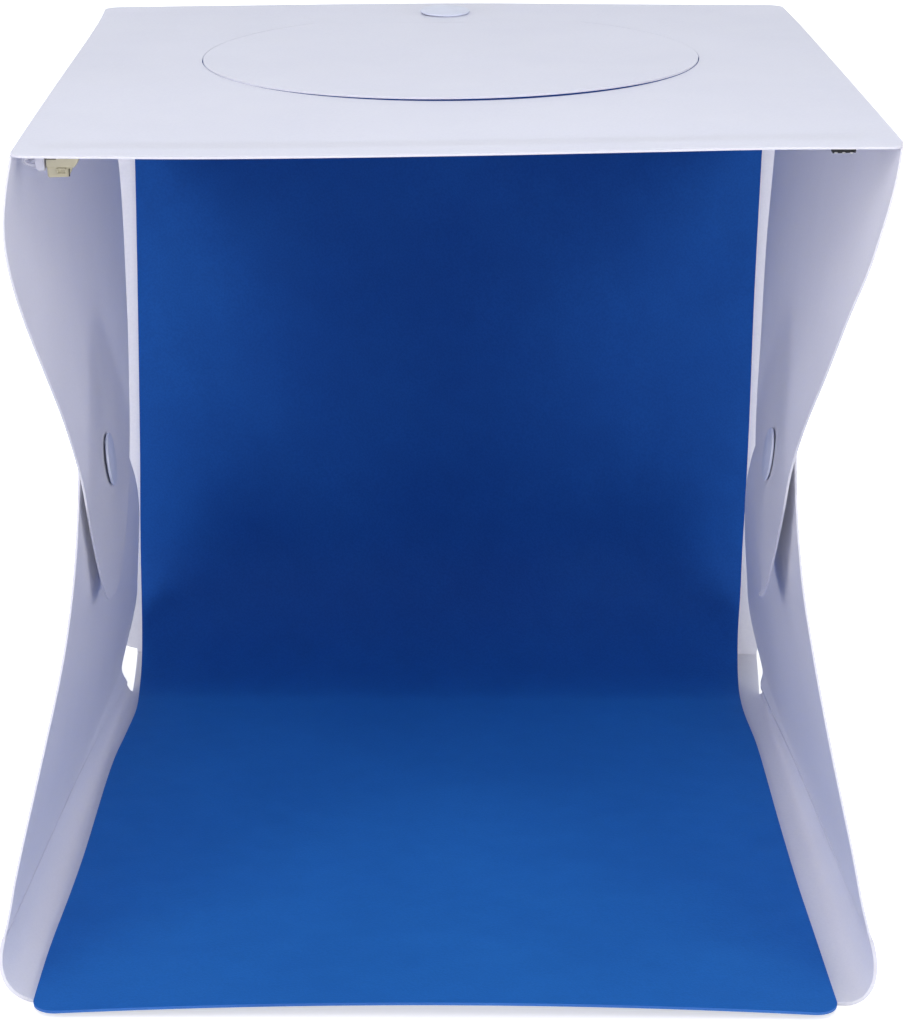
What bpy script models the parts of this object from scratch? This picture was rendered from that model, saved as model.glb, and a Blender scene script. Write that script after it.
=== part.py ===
"""Folding light tent: one thin white sheet folded into a cube, held by round snaps at the waist of its
sides, with a blue sweep backdrop and an LED strip under the front of the top.

Metres, +Z up. The origin is on the floor under the middle of the top panel. +Y runs to the back,
and the open front faces -Y.
"""

import math

import bmesh
import bpy
from mathutils import Matrix, Vector

# The white sheet and the cube that it folds into
sheet = 0.0010
seam = 0.0003
seat = 0.0002
top_width = 0.226
top_depth = 0.240
height = 0.230
top_corner = 0.003

# The overhead window: a round cut that stops at a straight hinge towards the rear
window_radius = 0.0744
window_to_rear = 0.0904
window_hinge_half = 0.0434
window_slit = 0.0004

# The base: a flat floor, bent-up lips at its sides and a plain neck up to the rear fold
floor_inset = 0.004
base_reach = 0.0204
lip_radius_front = 0.0115
lip_radius_rear = 0.0016
lip_rear_margin = 0.008
lip_rear_set_back = 0.0270
lip_front_set_back = 0.0100

# The back panel, whose lower corners are rounded off beside the neck
back_corner = 0.004

# The waist, where the upper and lower side flaps overlap
snap_height = 0.114
snap_ahead = 0.008
waist_pinch = 0.0117
waist_toe = 0.030
flap_clear = 0.0028
straight_height = 0.095
tongue_past_snap = 0.044
flap_root_inset = 0.008

# Outlines from tip to root as (share of the way from the snap, half width as a share of the upper
# flap's root half width). Below 0 the way is that from the snap to the tip. Above 0 it is the way
# up to the root on the upper flap, and the way down to the floor on the lower flap.
tip_shares = (
    (-1.000, 0.027), (-0.985, 0.052), (-0.940, 0.090), (-0.860, 0.130), (-0.740, 0.182),
    (-0.430, 0.285), (-0.080, 0.380),
)
upper_root_shares = (
    (0.100, 0.460), (0.270, 0.610), (0.450, 0.795), (0.620, 0.945), (0.760, 1.035), (0.860, 1.055),
    (0.940, 1.035), (1.000, 1.000),
)
lower_front_shares = (
    (0.100, 0.450), (0.270, 0.575), (0.380, 0.668), (0.470, 0.757), (0.580, 0.862), (0.680, 0.945),
    (0.800, 1.012), (0.870, 1.085), (1.000, 1.200),
)
lower_rear_shares = (
    (0.050, 0.475), (0.123, 0.565), (0.246, 0.735), (0.351, 0.865), (0.456, 0.940), (0.579, 0.968),
    (0.693, 0.985), (0.760, 1.012), (0.829, 0.995), (0.877, 0.920), (0.920, 0.825), (1.000, 0.810),
)

# Round snaps: a domed cap with a prong, and a socket or a stud that the prong is riveted in
cap_radius = 0.0080
cap_rise = 0.0013
cap_rim = 0.0005
prong_radius = 0.0011
prong_clear = 0.0003
rivet_radius = 0.0018
rivet_thick = 0.00025
ring_radius = 0.0062
socket_thick = 0.0015
socket_floor = 0.0005
pocket_radius = 0.0036
plate_thick = 0.0006
post_radius = 0.0032
post_bore = 0.0023
post_height = 0.0010
top_snap_to_rear = 0.0120

# The blue backdrop
backdrop_thick = 0.0008
backdrop_inset = 0.006
backdrop_reach = 0.0290
backdrop_corner = 0.007
backdrop_crown = 0.0030
crown_length = 0.085
sweep_radius = 0.045
backdrop_top_gap = 0.008
tab_half = 0.018
tab_bend = 0.0025

# The LED strip under the top
strip_from_front = 0.0105
strip_width = 0.0080
tape_thick = 0.0004
board_thick = 0.0008
board_left_inset = 0.0185
board_right_inset = 0.0080
chip_count = 20
chip_length = 0.0035
chip_width = 0.0028
chip_thick = 0.0006
chip_end_inset = 0.0045
resistor_count = 5
resistor_length = 0.0020
resistor_width = 0.0012
resistor_thick = 0.0004
driver_length = 0.0070
driver_width = 0.0036
driver_thick = 0.0014
driver_inset = 0.0012
leg_count = 3
leg_width = 0.0009
leg_reach = 0.0008
leg_thick = 0.0003

# The two-pin power socket at the strip's left end, its plug block and leads
socket_inset = 0.0175
socket_length = 0.0080
socket_depth = 0.0065
socket_upper = 0.0038
socket_lower = 0.0036
socket_shoulder = 0.0012
socket_bevel = 0.0018
mouth_wall = 0.0009
mouth_deep = 0.0050
pin_side = 0.0006
pin_pitch = 0.0025
pin_length = 0.0036
plug_length = 0.0026
plug_depth = 0.0056
plug_tall = 0.0056
plug_round = 0.0012
lead_radius = 0.0006
lead_loop = 0.0013
lead_pitch = 0.0026

# Fineness of round and bent shapes
window_steps = 72
corner_steps = 5
lip_steps = 6
turn_steps = 32
flap_rows = 28
flap_columns = 8
overrun = 0.002

# Places worked out from the sizes above
back_face = top_depth / 2
front_face = -top_depth / 2
floor_half = top_width / 2 - floor_inset
backdrop_half = top_width / 2 - backdrop_inset
flap_root_half = top_depth / 2 - flap_root_inset
top_under = height - sheet
snap_y = -snap_ahead
top_snap_y = back_face - top_snap_to_rear
window_y = back_face - window_to_rear
hinge_y = window_y + math.sqrt(window_radius ** 2 - window_hinge_half ** 2)
base_front = front_face - base_reach
lip_rear = back_face - lip_rear_margin
upper_root_x = top_width / 2 - sheet / 2
upper_root_z = top_under - seam
flap_pitch = sheet + flap_clear
backdrop_plane = back_face - sheet - seam - backdrop_thick / 2
strip_y = front_face + strip_from_front + strip_width / 2
board_face = top_under - seat - tape_thick - seat
board_left = top_width / 2 - board_left_inset
board_right = top_width / 2 - board_right_inset
chip_span = 2 * (board_left - chip_end_inset)
socket_right = top_width / 2 - socket_inset


# Scene, materials and shared helpers

def clear_scene():
    for item in list(bpy.data.objects):
        bpy.data.objects.remove(item, do_unlink=True)


def new_collection(name):
    collection = bpy.data.collections.new(name)
    bpy.context.scene.collection.children.link(collection)
    return collection


def new_material(name, colour, roughness, metallic=0.0):
    material = bpy.data.materials.new(name)
    material.use_nodes = True
    shader = material.node_tree.nodes["Principled BSDF"]
    shader.inputs["Base Color"].default_value = (*colour, 1.0)
    shader.inputs["Roughness"].default_value = roughness
    shader.inputs["Metallic"].default_value = metallic
    material.diffuse_color = (*colour, 1.0)
    return material


def place(name, mesh, material, parent=None):
    """Link a mesh as a named node of the tent, under the empty that it turns with."""
    mesh.name = name
    mesh.materials.clear()
    mesh.materials.append(material)
    item = bpy.data.objects.new(name, mesh)
    tent.objects.link(item)
    if parent is not None:
        item.parent = parent
        item.matrix_parent_inverse = parent.matrix_world.inverted()
    return item


def pivot(name, spot, parent=None):
    """An empty on a fold line, which carries every piece that turns about that fold."""
    empty = bpy.data.objects.new(name, None)
    empty.location = spot
    empty.empty_display_size = cap_radius
    tent.objects.link(empty)
    bpy.context.view_layer.update()
    if parent is not None:
        empty.parent = parent
        empty.matrix_parent_inverse = parent.matrix_world.inverted()
        bpy.context.view_layer.update()
    return empty


def smooth_value(table, share):
    """Value of a smooth curve through the (place, value) pairs of a table, at one place."""
    places = [pair[0] for pair in table]
    values = [pair[1] for pair in table]
    share = min(max(share, places[0]), places[-1])
    slot = 0
    while slot < len(places) - 2 and share > places[slot + 1]:
        slot += 1

    def slope(spot):
        low = max(spot - 1, 0)
        high = min(spot + 1, len(places) - 1)
        return (values[high] - values[low]) / (places[high] - places[low])

    span = places[slot + 1] - places[slot]
    t = (share - places[slot]) / span
    start = slope(slot) * span
    end = slope(slot + 1) * span
    rise = values[slot + 1] - values[slot]
    return values[slot] + t * (start + t * (3 * rise - 2 * start - end + t * (start + end - 2 * rise)))


def arc_points(centre, radius, start, end, steps):
    """Points along a round stretch, from one angle to another."""
    points = []
    for step in range(steps + 1):
        angle = start + (end - start) * step / steps
        points.append((centre[0] + radius * math.cos(angle), centre[1] + radius * math.sin(angle)))
    return points


def rounded_outline(low, high, corner):
    """Outline of a rectangle with four round corners."""
    points = []
    quarter = math.pi / 2
    centres = (
        (high[0] - corner, high[1] - corner), (low[0] + corner, high[1] - corner),
        (low[0] + corner, low[1] + corner), (high[0] - corner, low[1] + corner),
    )
    for turn, centre in enumerate(centres):
        points += arc_points(centre, corner, turn * quarter, (turn + 1) * quarter, corner_steps)
    return points


def plate(name, outlines, thickness, frame, material, parent=None):
    """A flat plate: closed outlines, the first one outside and the others open, made thick.
    The frame turns the outlines' plane and puts its middle in place."""
    curve = bpy.data.curves.new(name, "CURVE")
    curve.dimensions = "2D"
    curve.fill_mode = "BOTH"
    curve.extrude = thickness / 2
    for outline in outlines:
        spline = curve.splines.new("POLY")
        spline.points.add(len(outline) - 1)
        for point, (across, along) in zip(spline.points, outline):
            point.co = (across, along, 0.0, 1.0)
        spline.use_cyclic_u = True
    return solid_curve(name, curve, frame, material, parent)


def solid_curve(name, curve, frame, material, parent=None):
    """Make a curve object one closed mesh in its place."""
    guide = bpy.data.objects.new(name + "_curve", curve)
    tent.objects.link(guide)
    guide.matrix_world = frame
    bpy.context.view_layer.update()
    graph = bpy.context.evaluated_depsgraph_get()
    mesh = bpy.data.meshes.new_from_object(guide.evaluated_get(graph))
    bpy.data.objects.remove(guide, do_unlink=True)
    mesh.transform(frame)
    work = bmesh.new()
    work.from_mesh(mesh)
    bmesh.ops.remove_doubles(work, verts=work.verts, dist=sheet / 1000)
    bmesh.ops.recalc_face_normals(work, faces=work.faces)
    work.to_mesh(mesh)
    work.free()
    return place(name, mesh, material, parent)


def wire(name, points, radius, material, parent):
    """A round wire along a run of points."""
    curve = bpy.data.curves.new(name, "CURVE")
    curve.dimensions = "3D"
    curve.bevel_depth = radius
    curve.bevel_resolution = 2
    curve.use_fill_caps = True
    spline = curve.splines.new("POLY")
    spline.points.add(len(points) - 1)
    for point, spot in zip(spline.points, points):
        point.co = (*spot, 1.0)
    return solid_curve(name, curve, Matrix.Identity(4), material, parent)


def shell(name, rows, thickness, material, parent=None, kept=None):
    """A bent sheet: a loft of quads through rows of points on its middle surface, then Solidify."""
    work = bmesh.new()
    grid = [[work.verts.new(point) for point in row] for row in rows]
    for i in range(len(rows) - 1):
        for j in range(len(rows[0]) - 1):
            if kept is None or kept(i, j):
                work.faces.new((grid[i][j], grid[i][j + 1], grid[i + 1][j + 1], grid[i + 1][j]))
    loose = [vertex for vertex in work.verts if not vertex.link_faces]
    bmesh.ops.delete(work, geom=loose, context="VERTS")
    mesh = bpy.data.meshes.new(name)
    work.to_mesh(mesh)
    work.free()
    mesh.shade_smooth()
    item = place(name, mesh, material, parent)
    solidify = item.modifiers.new("thickness", "SOLIDIFY")
    solidify.thickness = thickness
    solidify.offset = 0.0
    solidify.use_even_offset = True
    return item


def block(name, centre, size, material, parent=None, bevel=0.0):
    """A block with its edges rounded off."""
    work = bmesh.new()
    bmesh.ops.create_cube(work, size=1.0, matrix=Matrix.Translation(centre) @ Matrix.Diagonal((*size, 1.0)))
    mesh = bpy.data.meshes.new(name)
    work.to_mesh(mesh)
    work.free()
    item = place(name, mesh, material, parent)
    if bevel:
        edge = item.modifiers.new("edges", "BEVEL")
        edge.width = bevel
        edge.segments = 2
    return item


def numbered_blocks(name, centres, size, material, parent):
    """Equal blocks, each an object of its own with a number in its name."""
    for number, centre in enumerate(centres, 1):
        block(f"{name}_{number}", centre, size, material, parent)


def cut_round(item, centre, direction, radius, length):
    """Cut a round hole through a piece."""
    work = bmesh.new()
    bmesh.ops.create_cone(
        work, cap_ends=True, segments=turn_steps // 2, radius1=radius, radius2=radius, depth=length)
    mesh = bpy.data.meshes.new(item.name + "_hole")
    work.to_mesh(mesh)
    work.free()
    cut_with(item, mesh, aimed(centre, direction))


def cut_with(item, mesh, frame):
    """Take a cutter's shape away from a piece."""
    cutter = bpy.data.objects.new(mesh.name, mesh)
    cutter.matrix_world = frame
    cutter.hide_render = True
    cutter.display_type = "WIRE"
    cutters.objects.link(cutter)
    cut = item.modifiers.new("cut", "BOOLEAN")
    cut.operation = "DIFFERENCE"
    cut.solver = "EXACT"
    cut.object = cutter


def aimed(centre, direction):
    """Frame whose +Z looks along a direction."""
    turn = Vector(direction).to_track_quat("Z", "Y")
    return Matrix.Translation(centre) @ turn.to_matrix().to_4x4()


def turned(name, profile, frame, material, parent):
    """A turned piece: (radius, height) points from the top of its axis down its outer side and back
    to the axis, carried round by a Screw modifier."""
    mesh = bpy.data.meshes.new(name)
    points = [(radius, 0.0, up) for radius, up in profile]
    edges = [(i, i + 1) for i in range(len(points) - 1)]
    if profile[0][0] > 0.0:
        edges.append((len(points) - 1, 0))
    mesh.from_pydata(points, edges, [])
    item = place(name, mesh, material, parent)
    item.matrix_world = frame
    screw = item.modifiers.new("turn", "SCREW")
    screw.axis = "Z"
    screw.steps = turn_steps
    screw.render_steps = turn_steps
    screw.use_merge_vertices = True
    screw.merge_threshold = sheet / 1000
    screw.use_smooth_shade = True
    return item


# The surfaces of the side flaps, as distances from the middle plane

def upper_half(y, z):
    """Upper flap: it leaves the top's edge upright, draws in with an S-curve to the waist and hangs
    straight below it. Towards the rear it toes in."""
    down = min(1.0, (upper_root_z - z) / (upper_root_z - snap_height))
    pull = waist_pinch + waist_toe * (y - snap_y)
    return upper_root_x - pull * down * down * (3 - 2 * down)


def lip_radius(y):
    """The base's side bend opens up from the rear to the front."""
    share = (y - base_front) / (lip_rear - base_front)
    return lip_radius_front + (lip_radius_rear - lip_radius_front) * share


def lip_lean(y):
    """How far the bend turns past upright, so that it runs straight on into the flap."""
    radius = lip_radius(y)
    draw_in = floor_half + radius - upper_half(y, straight_height) - flap_pitch
    return math.atan(draw_in * math.pi / 2 / (straight_height - radius))


def lip_point(y, turn_share):
    """A point on the lip's middle surface, from the floor at 0 to the lip's upper edge at 1."""
    radius = lip_radius(y)
    angle = (math.pi / 2 + lip_lean(y)) * turn_share
    return floor_half + radius * math.sin(angle), sheet / 2 + radius * (1 - math.cos(angle))


def lower_half(y, z, root_x, root_z):
    """Lower flap: from the lip it leans in to the waist, then runs up outside the upper flap."""
    if z >= straight_height:
        return upper_half(y, z) + flap_pitch
    waist = upper_half(y, straight_height) + flap_pitch
    up = (z - root_z) / (straight_height - root_z)
    return root_x + (waist - root_x) * math.sin(math.pi / 2 * up)


def flap_spacing(row):
    """Share of the way from root to tip: rows crowd together at the root and the tip."""
    return (1 - math.cos(math.pi * row / flap_rows)) / 2


def flap_outline(root_shares, way):
    """The (distance from the snap, half width) pairs of one edge of a flap, from its tip on."""
    pairs = [(share * tongue_past_snap, width * flap_root_half) for share, width in tip_shares]
    return pairs + [(share * way, width * flap_root_half) for share, width in root_shares]


# The sheet body

def make_top():
    outer = rounded_outline((-top_width / 2, front_face), (top_width / 2, back_face), top_corner)
    opening = window_outline(window_radius, hinge_y)
    hole = arc_points((0.0, top_snap_y), prong_radius + prong_clear, 0.0, 2 * math.pi, turn_steps // 2)[:-1]
    frame = Matrix.Translation((0.0, 0.0, height - sheet / 2))
    plate("top_panel", (outer, opening, hole), sheet, frame, white, top_pivot)
    lid = window_outline(window_radius - window_slit, hinge_y - window_slit)
    plate("window_lid", (lid,), sheet, frame, white, lid_pivot)


def window_outline(radius, chord_y):
    """A circle cut off by the straight hinge line towards the rear."""
    rise = math.asin((chord_y - window_y) / radius)
    return arc_points((0.0, window_y), radius, math.pi - rise, 2 * math.pi + rise, window_steps)


def make_back():
    """Full width above, drawn in to the neck's width at the fold."""
    low = sheet + seam
    high = top_under - seam
    shoulder = low + back_corner
    side = top_width / 2
    half = []
    half += [(floor_half, low)]
    half += arc_points((side - back_corner, shoulder + back_corner), back_corner, -math.pi / 2, 0.0, corner_steps)
    half += [(side, high)]
    left = [(-across, up) for across, up in reversed(half)]
    neck_top = [(floor_half, shoulder)]
    outline = half[:1] + neck_top + half[1:] + left[:-1] + [(-floor_half, shoulder)] + left[-1:]
    upright = Matrix.Translation((0.0, back_face - sheet / 2, 0.0)) @ Matrix.Rotation(math.pi / 2, 4, "X")
    plate("back_panel", (outline,), sheet, upright, white, back_pivot)


def make_base():
    """Rows run from front to rear, columns from the left lip over the floor to the right lip."""
    columns = [(-1, 1 - step / lip_steps) for step in range(lip_steps)]
    columns += [(0, share) for share in (-1.0, -0.5, 0.0, 0.5, 1.0)]
    columns += [(1, (step + 1) / lip_steps) for step in range(lip_steps)]
    shares = (0.0, 0.03, 0.1, 0.22, 0.4, 0.6, 0.8, 0.93, 1.0)
    rows = []
    for share in shares:
        rows.append([base_point(side, value, share) for side, value in columns])
    rows.append([base_point(side, value, 1.0, neck=True) for side, value in columns])

    def kept(i, j):
        floor_only = lip_steps <= j < lip_steps + 4
        return i < len(shares) - 1 or floor_only

    shell("base_panel", rows, sheet, white, None, kept)


def base_point(side, value, share, neck=False):
    """One point of the base: on the floor when side is 0, else on the lip of that side."""
    front = base_front
    rear = lip_rear
    if side:
        front += lip_front_set_back * value ** 3
        rear -= lip_rear_set_back * math.sin(math.pi / 2 * value)
    y = front + (rear - front) * share
    if neck:
        y = back_face
    if not side:
        return value * floor_half, y, sheet / 2
    x, z = lip_point(y, value)
    return side * x, y, z


def make_upper_flap(name, side, parent):
    outline = flap_outline(upper_root_shares, upper_root_z - snap_height)
    drop = upper_root_z - snap_height + tongue_past_snap
    rows = []
    for row in range(flap_rows + 1):
        z = upper_root_z - drop * flap_spacing(row)
        half = smooth_value(outline, z - snap_height)
        line = []
        for column in range(flap_columns + 1):
            y = snap_y + half * (2 * column / flap_columns - 1)
            line.append((side * upper_half(y, z), y, z))
        rows.append(line if side > 0 else line[::-1])
    flap = shell(name, rows, sheet, white, parent)
    spot = (side * upper_half(snap_y, snap_height), snap_y, snap_height)
    cut_round(flap, spot, snap_axis(side), prong_radius + prong_clear, 4 * sheet)


def lower_fold_spot(side):
    """Where the lower flap's fold line passes the middle: on the outer face, halfway in the seam."""
    x, z = lip_point(0.0, 1.0)
    lean = lip_lean(0.0)
    x += sheet / 2 * math.cos(lean)
    z += sheet / 2 * math.sin(lean) + seam / 2
    return side * x, 0.0, z


def lower_height(y, climb):
    """Height above the floor at a share of the way from the lip's upper edge to the tip."""
    root_z = lip_point(y, 1.0)[1] + seam
    return root_z + climb * (snap_height + tongue_past_snap - root_z)


def lower_edge(outline, way, climb):
    """Where one edge of the lower flap runs at a share of the climb. The root's height depends on
    the place itself, so the place is found in a few rounds."""
    y = snap_y
    for _ in range(5):
        y = snap_y + way * smooth_value(outline, snap_height - lower_height(y, climb))
    return y


def make_lower_flap(name, side, parent):
    """The root follows the lip's upper edge, so each column starts at its own height."""
    front_outline = flap_outline(lower_front_shares, snap_height)
    rear_outline = flap_outline(lower_rear_shares, snap_height)
    rows = []
    for row in range(flap_rows + 1):
        climb = flap_spacing(row)
        front = lower_edge(front_outline, -1, climb)
        rear = lower_edge(rear_outline, 1, climb)
        line = []
        for column in range(flap_columns + 1):
            y = front + (rear - front) * column / flap_columns
            edge_x, edge_z = lip_point(y, 1.0)
            z = lower_height(y, climb)
            line.append((side * lower_half(y, z, edge_x, edge_z + seam), y, z))
        rows.append(line if side < 0 else line[::-1])
    flap = shell(name, rows, sheet, white, parent)
    spot = (side * (upper_half(snap_y, snap_height) + flap_pitch), snap_y, snap_height)
    cut_round(flap, spot, snap_axis(side), prong_radius + prong_clear, 4 * sheet)


# Snaps

def snap_axis(side):
    """Direction out of the tent through a side snap, square to the toed-in sheets."""
    return Vector((side, waist_toe, 0.0)).normalized()


def cap_profile(through, head_up):
    """Domed cap over the outer face at height 0, prong down through the sheet, riveted head below."""
    rim = seat + cap_rim
    profile = []
    for step in range(corner_steps):
        share = step / corner_steps
        profile.append((cap_radius * share, seat + cap_rise - (cap_rise - cap_rim) * share ** 2))
    profile.append((cap_radius, rim))
    profile.append((cap_radius, seat))
    profile.append((prong_radius, seat))
    profile.append((prong_radius, -through - head_up + rivet_thick))
    profile.append((rivet_radius, -through - head_up + rivet_thick))
    profile.append((rivet_radius, -through - head_up))
    profile.append((0.0, -through - head_up))
    return profile


def socket_profile():
    """Ring with a pocket that the stud's post enters, seen from the sheet at height 0 upwards."""
    top = seat + socket_thick
    floor = seat + socket_floor
    bore = prong_radius + prong_clear
    lead_in = socket_floor / 2
    return [
        (pocket_radius + lead_in, top), (ring_radius - lead_in, top), (ring_radius, top - lead_in),
        (ring_radius, seat), (bore, seat), (bore, floor), (pocket_radius, floor), (pocket_radius, top - lead_in),
    ]


def stud_profile():
    """Plate with a hollow post, seen from the sheet at height 0 upwards."""
    plate_top = seat + plate_thick
    post_top = plate_top + post_height
    bore = prong_radius + prong_clear
    ease = plate_thick / 3
    return [
        (post_bore, post_top), (post_radius - ease, post_top), (post_radius, post_top - ease),
        (post_radius, plate_top), (ring_radius - ease, plate_top), (ring_radius, plate_top - ease),
        (ring_radius, seat), (bore, seat), (bore, plate_top), (post_bore, plate_top),
    ]


def make_snap(names, stud_side, outward, socket_parent, stud_parent, spot):
    """Four pieces about one axis. The spot is on the socket side's sheet middle, and outward
    runs from there to the stud side, whose sheet is as thick as given."""
    cap_a, socket, stud, cap_b = names
    spot = Vector(spot)
    face = spot + outward * (sheet / 2)
    far_face = face + outward * flap_clear
    head_in_socket = seat + socket_floor + seat + rivet_thick
    head_in_stud = seat + plate_thick + seat / 2 + rivet_thick
    turned(cap_a, cap_profile(sheet, head_in_socket), aimed(spot - outward * (sheet / 2), -outward),
           plastic, socket_parent)
    turned(socket, socket_profile(), aimed(face, outward), plastic, socket_parent)
    turned(stud, stud_profile(), aimed(far_face, -outward), plastic, stud_parent)
    other = aimed(far_face + outward * stud_side, outward)
    turned(cap_b, cap_profile(stud_side, head_in_stud), other, plastic, stud_parent)


def make_snaps():
    for word, side, upper, lower in (
        ("left", -1, left_upper_pivot, left_lower_pivot), ("right", 1, right_upper_pivot, right_lower_pivot),
    ):
        names = (word + "_inner_cap", word + "_socket", word + "_stud", word + "_outer_cap")
        spot = (side * upper_half(snap_y, snap_height), snap_y, snap_height)
        make_snap(names, sheet, snap_axis(side), upper, lower, spot)
    names = ("top_cap", "top_socket", "tab_stud", "tab_cap")
    spot = (0.0, top_snap_y, height - sheet / 2)
    make_snap(names, backdrop_thick, Vector((0.0, 0.0, -1.0)), top_pivot, top_pivot, spot)


# The backdrop

def make_backdrop():
    """Rows follow the path over the floor, round the sweep and up the back."""
    floor_z = sheet + seam + backdrop_thick / 2
    front = front_face - backdrop_reach
    sweep_y = backdrop_plane - sweep_radius
    top_z = top_under - backdrop_top_gap
    path = []
    for share in (0.0, 0.02, 0.06, 0.12, 0.2, 0.3, 0.4, 0.7, 1.0):
        path.append((front + (sweep_y - front) * share, floor_z))
    for point in arc_points((sweep_y, floor_z + sweep_radius), sweep_radius, -math.pi / 2, 0.0, 10)[1:]:
        path.append(point)
    for share in (0.33, 0.66, 1.0):
        path.append((backdrop_plane, floor_z + sweep_radius + (top_z - floor_z - sweep_radius) * share))
    across_shares = (-1.0, -0.992, -0.968, -0.935, -0.8, -0.55, -0.28, 0.0, 0.28, 0.55, 0.8, 0.935, 0.968, 0.992, 1.0)
    rows = []
    for along, up in path:
        line = []
        for share in across_shares:
            line.append(backdrop_point(share * backdrop_half, along, up, front, sweep_y))
        rows.append(line)
    shell("backdrop", rows, backdrop_thick, blue, None)


def backdrop_point(x, y, z, front, sweep_y):
    """Round off the front corners and lift the middle of the front edge a little."""
    into_corner = max(0.0, abs(x) - (backdrop_half - backdrop_corner))
    set_back = backdrop_corner - math.sqrt(max(0.0, backdrop_corner ** 2 - into_corner ** 2))
    if y < sweep_y:
        y += set_back * (sweep_y - y) / (sweep_y - front)
    lift = 0.0
    if y < front + crown_length:
        fade = 1 - (y - front) / crown_length
        lift = backdrop_crown * fade ** 2 * (1 - (x / backdrop_half) ** 2)
    return x, y, z + lift


def make_tab():
    """The backdrop's turned end: up the back, round a bend and forward under the top."""
    start_z = top_under - backdrop_top_gap + seam
    middle_z = top_under - flap_clear - backdrop_thick / 2
    path = [(backdrop_plane, start_z)]
    centre = (backdrop_plane - tab_bend, middle_z - tab_bend)
    path += arc_points(centre, tab_bend, 0.0, math.pi / 2, corner_steps)
    rows = []
    for y, z in path:
        rows.append([(tab_half, y, z), (0.0, y, z), (-tab_half, y, z)])
    rounding = tab_half - ring_radius / 2
    for step in range(1, corner_steps + 4):
        turn = math.pi / 2 * step / (corner_steps + 3)
        half = tab_half - rounding + rounding * math.cos(turn)
        y = centre[0] - (rounding + ring_radius / 2) * math.sin(turn)
        rows.append([(half, y, middle_z), (0.0, y, middle_z), (-half, y, middle_z)])
    tab = shell("backdrop_tab", rows, backdrop_thick, blue, top_pivot)
    cut_round(tab, (0.0, top_snap_y, middle_z), (0.0, 0.0, 1.0), prong_radius + prong_clear, 4 * sheet)


# The lighting

def make_strip():
    length = board_left + board_right
    middle = (board_right - board_left) / 2
    tape_z = top_under - seat - tape_thick / 2
    block("led_tape", (middle, strip_y, tape_z), (length, strip_width - 2 * sheet, tape_thick), foam, top_pivot)
    board_z = board_face - board_thick / 2
    block("led_board", (middle, strip_y, board_z), (length, strip_width, board_thick), board_white, top_pivot)
    under = board_face - board_thick - seat
    centres = []
    for spot in range(chip_count):
        x = chip_span * (spot / (chip_count - 1) - 0.5)
        centres.append((x, strip_y - sheet, under - chip_thick / 2))
    numbered_blocks("led_chip", centres, (chip_length, chip_width, chip_thick), phosphor, top_pivot)
    pitch = chip_span / (chip_count - 1)
    centres = []
    for spot in range(resistor_count):
        x = pitch * chip_count / resistor_count * (spot - (resistor_count - 1) / 2)
        centres.append((x, strip_y + strip_width / 3, under - resistor_thick / 2))
    size = (resistor_length, resistor_width, resistor_thick)
    numbered_blocks("led_resistor", centres, size, dark, top_pivot)
    make_driver(under)


def make_driver(under):
    """The small dark part at the strip's right end, on a frame whose legs reach out on both sides."""
    x = board_right - driver_inset - driver_length / 2
    y = strip_y - strip_width / 2 + driver_width / 2 + leg_reach
    pitch = driver_length / (leg_count + 1)
    inner = driver_width / 4
    outer = driver_width / 2 + leg_reach
    front = []
    for spot in range(leg_count):
        leg_x = x + pitch * (spot - (leg_count - 1) / 2)
        near = leg_x - leg_width / 2
        far = leg_x + leg_width / 2
        front += [(near, y - inner), (near, y - outer), (far, y - outer), (far, y - inner)]
    rear = [(across, y + (y - along)) for across, along in reversed(front)]
    frame = Matrix.Translation((0.0, 0.0, under - leg_thick / 2))
    plate("driver_chip_legs", (front + rear,), leg_thick, frame, tin, top_pivot)
    body_z = under - leg_thick - seat - driver_thick / 2
    size = (driver_length, driver_width, driver_thick)
    block("driver_chip", (x, y, body_z), size, dark, top_pivot, bevel=leg_thick)


def make_power_socket():
    """Cream housing: a wider upper body, a lower body with a bevelled right side, mouth at the rear."""
    right = -socket_right
    left = right - socket_length
    top_z = top_under - seat
    shoulder_z = top_z - socket_upper
    low_z = shoulder_z - socket_lower
    outline = [
        (left, top_z), (left, shoulder_z), (left + socket_shoulder, shoulder_z), (left + socket_shoulder, low_z),
        (right - socket_bevel, low_z), (right, shoulder_z + socket_bevel), (right, top_z),
    ]
    y = front_face + strip_from_front + socket_depth / 2
    upright = Matrix.Translation((0.0, y, 0.0)) @ Matrix.Rotation(math.pi / 2, 4, "X")
    housing = plate("power_socket", (outline,), socket_depth, upright, cream, top_pivot)
    mouth_low = low_z + mouth_wall
    mouth_high = top_z - mouth_wall
    mouth_left = left + socket_shoulder + mouth_wall
    mouth_right = right - socket_bevel - mouth_wall / 2
    work = bmesh.new()
    size = (mouth_right - mouth_left, mouth_deep + overrun, mouth_high - mouth_low, 1.0)
    spot = ((mouth_left + mouth_right) / 2, y + socket_depth / 2 - mouth_deep / 2 + overrun / 2,
            (mouth_low + mouth_high) / 2)
    bmesh.ops.create_cube(work, size=1.0, matrix=Matrix.Diagonal(size))
    mesh = bpy.data.meshes.new("mouth")
    work.to_mesh(mesh)
    work.free()
    cut_with(housing, mesh, Matrix.Translation(spot))
    wall = y + socket_depth / 2 - mouth_deep
    centres = []
    for side in (-1, 1):
        centres.append((spot[0] + side * pin_pitch / 2, wall + seat + pin_length / 2, spot[2]))
    numbered_blocks("power_pin", centres, (pin_side, pin_length, pin_side), tin, top_pivot)
    make_plug(left, y)


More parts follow.
